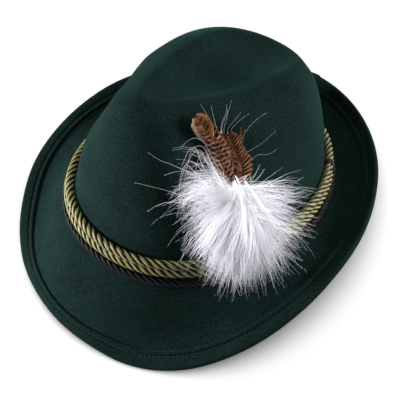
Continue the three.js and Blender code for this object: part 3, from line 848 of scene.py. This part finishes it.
def twisted_cord(name, centre_at, diameter, material, slot, node, colours):
    """Plies wound round the cord's middle, each with the ridges of its own yarns."""
    rings, sides, yarns = 560, 18, 5
    centre = place(centre_at(round_angles(rings)))
    along = unit(np.roll(centre, -1, 0) - np.roll(centre, 1, 0))
    outward = unit(np.cross(along, [0, 0, 1]))
    up = np.cross(outward, along)
    girth = run_of(centre, closed=True)
    run = girth[:-1] / girth[-1]
    turns = round(girth[-1] / PLY_PITCH)
    ply = diameter / 2 * PLY_SHARE
    orbit = diameter / 2 - ply
    points, tints = [], []
    for strand in range(PLIES):
        wind = -2 * math.pi * turns * run + strand * 2 * math.pi / PLIES
        radial = np.cos(wind)[:, None] * outward + np.sin(wind)[:, None] * up
        middle = centre + orbit * radial
        path = unit(np.roll(middle, -1, 0) - np.roll(middle, 1, 0))
        across = unit(np.cross(path, radial))
        face = np.cross(across, path)
        theta = np.arange(sides) * 2 * math.pi / sides
        twist = 2 * math.pi * round(turns * 0.5) * run[:, None]
        ridge = 1 + YARN_RIDGE * np.cos(yarns * (theta[None] + twist))
        radius = ply * ridge
        ring = middle[:, None] + (radius * np.cos(theta))[..., None] * face[:, None] \
            + (radius * np.sin(theta) * 1.08)[..., None] * across[:, None]
        depth = np.linalg.norm(ring - centre[:, None], axis=-1) / (diameter / 2)
        points.append(ring.reshape(-1, 3))
        # Point colours with painted shade deep between the plies and painted highlights on the yarn ridges
        tints.append(yarn_tint(depth, ridge, colours).reshape(-1, 3))
    faces = ring_faces(rings, sides, True)
    every = np.concatenate([faces + s * rings * sides for s in range(PLIES)])
    piece = new_piece(name, np.concatenate(points), every)
    colour_points(piece, np.concatenate(tints))
    dress(piece, material, slot, node)


def yarn_tint(depth, ridge, colours):
    """Painted shade in the gaps between plies, where points lie deeper in the cord, and painted highlights on
    the yarn ridges.
    """
    painted_gap_shade, body, painted_ridge_highlight = (rgb(c) for c in colours)
    # Painted shade: points below the cord's outer face take the dark gap colour
    unshaded_share = np.clip((depth - 0.94) / 0.04, 0, 1)[..., None]
    # Painted highlight: the ridges of the yarns take the bright colour
    high = np.clip((ridge - 0.97) / 0.07, 0, 1)[..., None]
    return blend(painted_gap_shade, blend(body, painted_ridge_highlight, high * 0.8), unshaded_share)


def cords():
    gold = yarn_material("gold_yarn", 0.4, 0.35)
    dark = yarn_material("dark_yarn", 0.55, 0.15)
    twisted_cord("upper_gold_cord", upper_cord_centre, GOLD_CORD, gold, "gold", "cord_gold_upper", GOLD_YARN)
    twisted_cord("lower_gold_cord", lower_cord_centre, GOLD_CORD, gold, "gold", "cord_gold_lower", GOLD_YARN)
    twisted_cord("outer_dark_cord", dark_cord_centre, DARK_CORD, dark, "dark", "cord_dark", DARK_YARN)


def cord_whipping():
    """Turns of thread side by side round both gold cords."""
    angle = np.array([WRAP_ANGLE - 1.0, WRAP_ANGLE + 1.0, float(WRAP_ANGLE)])
    low, high = lower_cord_centre(angle), upper_cord_centre(angle)
    along = unit(low[1] - low[0])
    up = high[2] - low[2]
    spacing = np.linalg.norm(up)
    up = unit(up - (up @ along) * along)
    outward = np.cross(along, up)
    reach = GOLD_CORD / 2 + WRAP_THREAD / 2 + 0.05
    half = np.linspace(0, math.pi, WRAP_STEPS)
    arc = np.concatenate([half, half + math.pi])
    lift = np.concatenate([np.full(WRAP_STEPS, spacing), np.zeros(WRAP_STEPS)])
    count = round(WRAP_LENGTH / (0.9 * WRAP_THREAD))
    paths = []
    for turn in range(count):
        shift = (turn + 0.5) / count * WRAP_LENGTH - WRAP_LENGTH / 2
        wobble = 0.12 * rng.standard_normal()
        loop = low[2] + np.outer(np.cos(arc) * (reach + 0.04 * wobble), outward) \
            + np.outer(np.sin(arc) * reach + lift, up) + (shift + wobble * np.sin(arc)[:, None]) * along
        paths.append(np.concatenate([loop, loop[:2]]))
    centres = place(np.array(paths))
    radii = np.full(centres.shape[:2], WRAP_THREAD / 2)
    piece = tubes("black_whipping", centres, radii, 8)
    dress(piece, thread_material("black_thread", BLACK_THREAD), "wrap", "cord_wrap")


# Plume

def plume_frame():
    """The head's middle and axes: side runs round to the back, up climbs the crown, out stands off it."""
    climb = climb_to(PLUME_ANGLE, PLUME_HEIGHT)
    out = crown_normal(PLUME_ANGLE, climb)
    side = unit(np.cross([0, 0, 1], out))
    up = np.cross(out, side)
    centre = crown_point(PLUME_ANGLE, climb) + (HEAD_HALF_DEPTH + GAP) * out
    return centre, side, up, out


# Reach of the down from its root, by the direction in degrees from straight down towards the plume's side
DOWN_REACH = (
    (-180, 10), (-130, 20), (-100, 38), (-70, 42), (-35, 50), (0, 58), (35, 60), (70, 52), (100, 42),
    (130, 24), (180, 10),
)
DOWN_ROOT = 13                 # how far above the middle of the head the strands start
# Groups of locks: middle and spread of their direction, and curl
CORE_LOBES = ((0, 13, 0), (2, 30, 0))
OUTER_LOBES = (
    (-55, 24, 0.4), (0, 22, 0), (0, 30, 0), (42, 26, 0), (95, 22, -0.5), (-100, 18, 0.8), (-158, 9, 1.9),
)


def strand_paths(around, stand, length, root, fall, curl, steps):
    """Paths of down, in the hat's own frame, that leave the head and bend down and sideways."""
    a, e = around * RAD, stand * RAD
    step = 1 / (steps - 1)
    at, local = root.copy(), [root.copy()]
    for i in range(steps - 1):
        u = (i + 0.5) * step
        turned = a * (1 - fall * u) + curl * u ** 2
        raised = e * (1 - 0.8 * u) - 0.12 * u
        level = np.cos(raised)
        direction = np.stack([np.sin(turned) * level, -np.cos(turned) * level, np.sin(raised)], -1)
        at = at + direction * (length * step)[:, None]
        local.append(at)
    centre, *axes = plume_frame()
    return centre + np.stack(local, 1) @ np.array(axes)


def down(name, locks, each, lobes, shares, stand, radius, steps, loose):
    """One layer of the plume, in thin locks of a few strands each.

    shares is the range of the locks' reach, stand how far they stand off the crown, in degrees, and loose how
    far a lock's strands part."""
    middle, spread, bend = np.array(lobes)[rng.integers(0, len(lobes), locks)].T
    around = np.clip(rng.normal(middle, spread), -175, 175)
    lift = np.clip(rng.normal(stand, 14, locks), 4, 75)
    length = np.interp(around, *zip(*DOWN_REACH)) * rng.uniform(*shares, locks)
    length = length * np.cos((lift - 10) * RAD) ** 0.5
    length = np.where(np.abs(bend) > 1, 46 * rng.uniform(0.6, 1.1, locks), length)
    root = rng.normal(0, 1, (locks, 3)) * [3.6, 4.5, 1.8] + [0, DOWN_ROOT, 0]
    root[:, 0] -= 9 * (bend > 1)
    root[:, 2] = np.clip(root[:, 2], -5, 6)
    curl = rng.normal(bend, 0.25 + 0.2 * np.abs(bend))
    fall = rng.uniform(0, 0.4, locks) * (np.abs(bend) < 1)
    count = locks * each
    of_locks = (around, lift, length, root, curl, fall)
    around, lift, length, root, curl, fall = (np.repeat(v, each, 0) for v in of_locks)
    around = around + rng.normal(0, loose, count)
    lift = lift + rng.normal(0, loose, count)
    curl = curl + rng.normal(0, 0.12, count)
    root = root + rng.normal(0, 0.5, (count, 3))
    paths = strand_paths(around, lift, length * rng.uniform(0.75, 1, count), root, fall, curl, steps)
    phase = rng.uniform(0, 6.3, count)[:, None]
    wave = np.sin(np.linspace(0, 7, steps)[None] + phase) * np.linspace(0, 0.7, steps)
    paths += wave[..., None] * unit(rng.normal(0, 1, (count, 3)))[:, None]
    u = np.linspace(0, 1, steps)
    radii = radius * rng.uniform(0.6, 1.2, count)[:, None] * (1 - 0.7 * u ** 1.5)
    piece = tubes(name, clear_of_crown(place(paths)), radii, 3)
    paint_down(piece, np.repeat(np.tile(u, count), 3))
    return piece


def paint_down(piece, share):
    """White, with a little lilac grey painted shade towards the tips."""
    colour_points(piece, blend(rgb(DOWN_WHITE), rgb(DOWN_TIP_SHADE), share[:, None] ** 1.2))


def clear_of_crown(points):
    """Pushes placed points that would lie in felt or cords out to a little above them."""
    x, y, z = points[..., 0], points[..., 1] - SHIFT, points[..., 2] + SURFACE
    c, s = math.cos(LEAN * RAD), math.sin(LEAN * RAD)
    own = np.stack([x, c * y - s * z, c * z + s * y], -1)
    angle = np.degrees(np.arctan2(own[..., 0] / HALF_WIDTH, -own[..., 1] / HALF_LENGTH))
    wall = crown_point(angle, climb_to(angle, np.maximum(own[..., 2], 0)))
    radius = np.hypot(own[..., 0], own[..., 1])
    clear = np.where(own[..., 2] < CORD_HEIGHT + 9, 2 * GAP + GOLD_CORD, 0.6)
    want = np.hypot(wall[..., 0], wall[..., 1]) + clear
    push = np.where(own[..., 2] < 60, np.maximum(0, want - radius), 0) / np.maximum(radius, 1)
    own = own + own * [1, 1, 0] * push[..., None]
    return place(own)


def plume():
    """Dense core, loose outer locks, single strands and the brown tuft."""
    look = plume_material()
    core = down("plume_core", 560, 8, CORE_LOBES, (0.45, 0.98), 26, 0.17, 6, 3)
    dress(core, look, "plume", "plume_white")
    outer = down("plume_outer", 720, 4, OUTER_LOBES, (0.65, 1.12), 20, 0.095, 9, 6)
    dress(outer, look, "plume")
    single = strands_on_crown("plume_strands", LONG_STRANDS, 1, 0.1)
    paint_down(single, np.repeat(np.tile(np.linspace(0, 1, STRAND_STEPS), len(LONG_STRANDS)), 5))
    dress(single, look, "plume")
    tuft = strands_on_crown("brown_tuft", TUFT, 5, 0.2)
    colour_points(tuft, rgb(TUFT_BROWN))
    dress(tuft, look, "feather")
    return core, outer


def strands_on_crown(name, rows, copies, radius):
    """Tapering strands through places on the crown, each copied a few times with small differences."""
    places = np.repeat(np.array(rows), copies, 0)
    places = places + rng.normal(0, 1, places.shape) * [0.2, 0.002, 0.1]
    knots = off_crown(places[..., 0], places[..., 1], places[..., 2:])
    u = np.linspace(0, knots.shape[1] - 1, STRAND_STEPS)
    paths = np.stack([np.stack([free_spline(k[:, axis], u) for axis in range(3)], -1) for k in knots])
    radii = np.broadcast_to(radius * (1 - 0.65 * np.linspace(0, 1, STRAND_STEPS) ** 1.5), paths.shape[:2])
    return tubes(name, place(paths), radii, 5)


# Feathers

def feather(name, rows, width, node, material, long, vanes):
    """Barbs along both sides of a shaft, barred by the colours of their points. vanes widens each side."""
    keys = table(FEATHER_KEYS, rows)
    fine = np.linspace(0, len(rows) - 1, 241)
    value = {key: free_spline(keys[key], fine) for key in FEATHER_KEYS}
    normal = crown_normal(value["angle"], value["climb"])
    shaft = crown_point(value["angle"], value["climb"]) + (value["lift"] * VANE)[:, None] * normal
    run = run_of(shaft)
    along = unit(np.gradient(shaft, axis=0))
    across = unit(np.cross(along, normal))
    face = np.cross(across, along)
    spacing, layers, steps = 0.32, 2, 9
    per_side = int(run[-1] / spacing)
    paths, tints, radii = [], [], []
    u = np.linspace(0, 1, steps)

    def on_shaft(values, s):
        return np.stack([np.interp(s, run, values[:, axis]) for axis in range(3)], -1)

    for layer in range(layers):
        for side, wide in zip((-1, 1), vanes):
            s = (np.arange(per_side) + rng.random(per_side)) * spacing
            reach = np.interp(s, run, value["width"] * width / 2) * wide * rng.uniform(0.9, 1.06, per_side)
            near_tip = np.clip(s / run[-1] / 0.3 - 7 / 3, 0, 1)
            forward = reach * rng.uniform(0.75, 1.0, per_side) * (1 - 0.8 * near_tip)
            base = on_shaft(shaft, s)
            to_tip, to_side, to_face = (unit(on_shaft(v, s)) for v in (along, across, face))
            out = (side * reach)[:, None, None] * u[None, :, None] * to_side[:, None]
            ahead = forward[:, None, None] * (u ** 1.3)[None, :, None] * to_tip[:, None]
            hump = (0.9 * layer + 1.3 * (1 - (1 - u) ** 2))[None, :, None] * 0.5
            drop = -(reach[:, None] * 0.2 * u ** 2)[..., None]
            paths.append(base[:, None] + out + ahead + (hump + drop) * to_face[:, None])
            radii.append(np.broadcast_to(0.25 * (1 - 0.6 * u ** 4), (per_side, steps)))
            place_along = s[:, None] + forward[:, None] * u ** 1.3
            tints.append(feather_tint(place_along, reach[:, None] * u, side, run[-1], long))
    paths, radii = np.concatenate(paths), np.concatenate(radii)
    piece = tubes(name, place(paths), radii, 4)
    tint = np.concatenate(tints)
    colour_points(piece, np.repeat(tint.reshape(-1, 3), 4, 0))
    dress(piece, material, "feather", node)
    ridge = (shaft + 0.75 * face)[None, ::8]
    rachis = tubes(name + "_shaft", place(ridge), np.linspace(0.42, 0.15, ridge.shape[1])[None], 8)
    colour_points(rachis, rgb(LONG_SHAFT if long else SHORT_SHAFT))
    dress(rachis, material, "feather")


def feather_tint(s, v, side, length, long):
    """Dark bars across rust brown, with painted blue-grey glints, and a cream and amber tip on the long
    feather whose light rim is a painted highlight.

    s runs along the shaft and v out from it; side -1 is the left one in front view."""
    # Cream is the left vane's pale edge and also the painted highlight on the tip's rim
    rust, dark, cream = rgb((150, 90, 58)), rgb((13, 8, 7)), rgb((238, 216, 182))
    # The blue-grey colour is for painted glints on the long feather
    amber, tan, grey = rgb((190, 128, 80)), rgb((210, 158, 120)), rgb((120, 130, 150))
    s, v = np.broadcast_arrays(s, v)
    out = v / np.maximum(v.max(1, keepdims=True), 1e-6)
    streak = rng.random((len(s), 1))
    if long:
        wave = np.sin(2 * math.pi * (s + 0.45 * np.sin(1.7 * v + 0.8 * s)) / 2.5 + 0.6 * streak)
    else:
        wave = np.sin(2 * math.pi * (s - 0.6 * side * v) / 1.9)
    bar = np.clip(wave * 3 + 0.6, 0, 1)[..., None]
    ground = blend(rust, tan, (streak > 0.55)[..., None] * (0.9 if long else 0.5))
    if not long:
        return blend(ground, dark, bar)
    left = side < 0
    if left:
        ground = blend(ground, cream, np.clip((out - 0.72) / 0.2, 0, 1)[..., None] * 0.8)
    # Painted glints: blue-grey flecks on some barbs of the long feather's first half
    ground = blend(ground, grey, ((streak < 0.16) & (s < 0.5 * length))[..., None] * 0.8)
    share = np.clip((s / length - 0.70) / 0.05, 0, 1)[..., None]
    # Painted highlight: a light rim round the tip, cream on the left side and amber on the right, with dark
    # breaks
    rim = np.clip((out - (0.62 if left else 0.5)) / 0.22, 0, 1)[..., None]
    edge = blend(cream, amber, 0.25 if left else 1)
    edge = blend(edge, dark, 0.55 * (np.sin(5 * s + 9 * streak) > 0.5)[..., None])
    brown = blend(dark, amber, (0.12 + 0.6 * (streak > 0.72))[..., None])
    return blend(blend(ground, dark, bar), blend(brown, edge, rim), share)


# Stage, light and camera

def floor():
    plane = bpy.data.meshes.new("floor")
    corners = [(x * FLOOR_HALF, y * FLOOR_HALF, 0) for x, y in ((-1, -1), (1, -1), (1, 1), (-1, 1))]
    plane.from_pydata(corners, [], [(0, 1, 2, 3)])
    piece = add_object("floor", plane)
    m = Shader("pale_floor")
    m.set(Base_Color=(0.86, 0.86, 0.86, 1), Roughness=0.9)
    piece.data.materials.append(m.material)
    piece.visible_diffuse = False
    return piece


def view_axes():
    """Right, up and back of the camera."""
    a, e, r = CAMERA_AZIMUTH * RAD, CAMERA_ELEVATION * RAD, CAMERA_ROLL * RAD
    back = Vector((math.sin(a) * math.cos(e), -math.cos(a) * math.cos(e), math.sin(e)))
    right = Vector((math.cos(a), math.sin(a), 0))
    up = back.cross(right)
    return math.cos(r) * right + math.sin(r) * up, math.cos(r) * up - math.sin(r) * right, back


def camera():
    """The photograph's camera, with its frame moved by a shift."""
    data = bpy.data.cameras.new("camera")
    eye = add_object("camera", data)
    right, up, back = view_axes()
    aim = Vector((0, SHIFT, -SURFACE)) * MM
    turn = Matrix((right, up, back)).transposed().to_4x4()
    eye.matrix_world = Matrix.Translation(aim + CAMERA_DISTANCE * MM * back) @ turn
    data.sensor_width = SENSOR
    data.lens = CAMERA_SCALE * CAMERA_DISTANCE * SENSOR / PHOTO
    data.shift_x = (PHOTO / 2 - AIM_PIXEL[0]) / PHOTO
    data.shift_y = (AIM_PIXEL[1] - PHOTO / 2) / PHOTO
    data.clip_start = 0.01
    bpy.context.scene.camera = eye


def area_light(name, toward, distance, size, power):
    """A round soft lamp; toward is its direction by the camera's right, up and back."""
    data = bpy.data.lights.new(name, "AREA")
    data.shape = "DISK"
    data.size = size
    data.energy = power
    lamp = add_object(name, data)
    direction = sum((share * axis for share, axis in zip(toward, view_axes())), Vector()).normalized()
    lamp.location = Vector(LAMP_TARGET) + distance * direction
    lamp.rotation_euler = direction.to_track_quat("Z", "Y").to_euler()
    return lamp


def light_only(lamp, name, state, *pieces):
    """Lets a lamp light these pieces alone, or all but these."""
    group = bpy.data.collections.new(name)
    for piece in pieces:
        group.objects.link(piece)
    lamp.light_linking.receiver_collection = group
    for member in group.collection_objects:
        member.light_linking.link_state = state


def studio(ground, down_pieces):
    """Low lights from both sides, and lamps that keep floor and down pale without flattening the felt."""
    for lamp in FELT_LAMPS:
        light_only(area_light(*lamp), "not_by_" + lamp[0], "EXCLUDE", ground)
    light_only(area_light(*DOWN_LAMP), "by_for_down", "INCLUDE", *down_pieces)
    data = bpy.data.lights.new("for_floor", "SUN")
    data.energy = SUN_POWER
    data.angle = SUN_ANGLE
    light_only(add_object("for_floor", data), "by_for_floor", "INCLUDE", ground)
    world = bpy.data.worlds.new("studio")
    bpy.context.scene.world = world
    world.use_nodes = True
    tree = world.node_tree
    ray = tree.nodes.new("ShaderNodeLightPath")
    level = tree.nodes.new("ShaderNodeMapRange")
    level.inputs["To Min"].default_value = AMBIENT
    level.inputs["To Max"].default_value = 1.0
    tree.links.new(ray.outputs["Is Camera Ray"], level.inputs["Value"])
    tree.links.new(level.outputs["Result"], tree.nodes["Background"].inputs["Strength"])
    tree.nodes["Background"].inputs["Color"].default_value = (1, 1, 1, 1)
    bpy.context.scene.view_settings.view_transform = "Standard"


SHIFT = shift_to_frame()
camera()
felt_body()
brim_binding()
cords()
cord_whipping()
barred = feather_material()
feather("long_feather", LONG_FEATHER, LONG_FEATHER_WIDTH, "feather_long", barred, True, (1.15, 1.2))
feather("short_feather", SHORT_FEATHER, SHORT_FEATHER_WIDTH, "feather_short", barred, False, (1.75, 1.15))
studio(floor(), plume())

bpy.context.view_layer.update()
